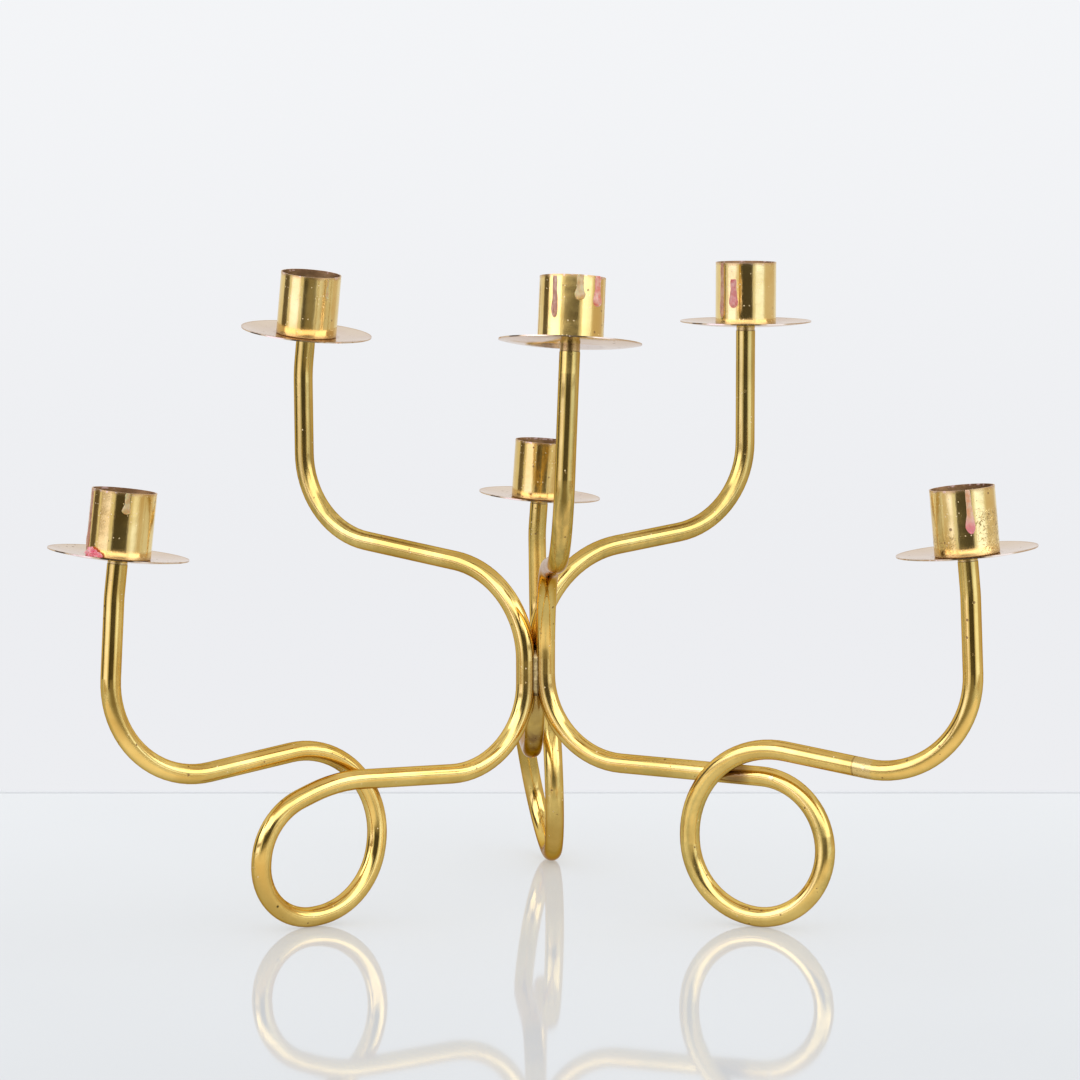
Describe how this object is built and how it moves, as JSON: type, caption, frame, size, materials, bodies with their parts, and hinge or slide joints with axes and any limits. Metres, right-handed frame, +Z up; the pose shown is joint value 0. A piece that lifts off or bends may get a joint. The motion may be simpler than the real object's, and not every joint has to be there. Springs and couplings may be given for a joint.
{
  "type": "table candelabra",
  "caption": "Low table candelabra of bent brass tubes soldered together at the centre, each coiled into a loop foot and ending in a candle cup with drip pan at both ends.",
  "frame": {"origin": "on the table top, under the centre line where the tubes are soldered together", "axes": "+Z up, +X to the right of the pictured view, +Y towards the back, away from the viewer"},
  "size_m": [0.3827, 0.3492, 0.2628],
  "materials": {
    "tube": "polished, unlacquered and lightly aged",
    "sheet": "polished sheet, scratched and lightly tarnished",
    "turned": "turned, dull",
    "solder": "dull soft solder"
  },
  "bodies": {
    "root": {"tube_front": "tube", "tube_left": "tube", "tube_right": "tube", "ferrule_front_upper": "turned", "drip_pan_front_upper": "sheet", "candle_cup_front_upper": "sheet", "cup_screw_front_upper": "turned", "ferrule_left_upper": "turned", "drip_pan_left_upper": "sheet", "candle_cup_left_upper": "sheet", "cup_screw_left_upper": "turned", "ferrule_right_upper": "turned", "drip_pan_right_upper": "sheet", "candle_cup_right_upper": "sheet", "cup_screw_right_upper": "turned", "ferrule_left_lower": "turned", "drip_pan_left_lower": "sheet", "candle_cup_left_lower": "sheet", "cup_screw_left_lower": "turned", "ferrule_right_lower": "turned", "drip_pan_right_lower": "sheet", "candle_cup_right_lower": "sheet", "cup_screw_right_lower": "turned", "ferrule_back_lower": "turned", "drip_pan_back_lower": "sheet", "candle_cup_back_lower": "sheet", "cup_screw_back_lower": "turned", "solder_front": "solder", "solder_left": "solder", "solder_right": "solder"}
  },
  "joints": []
}
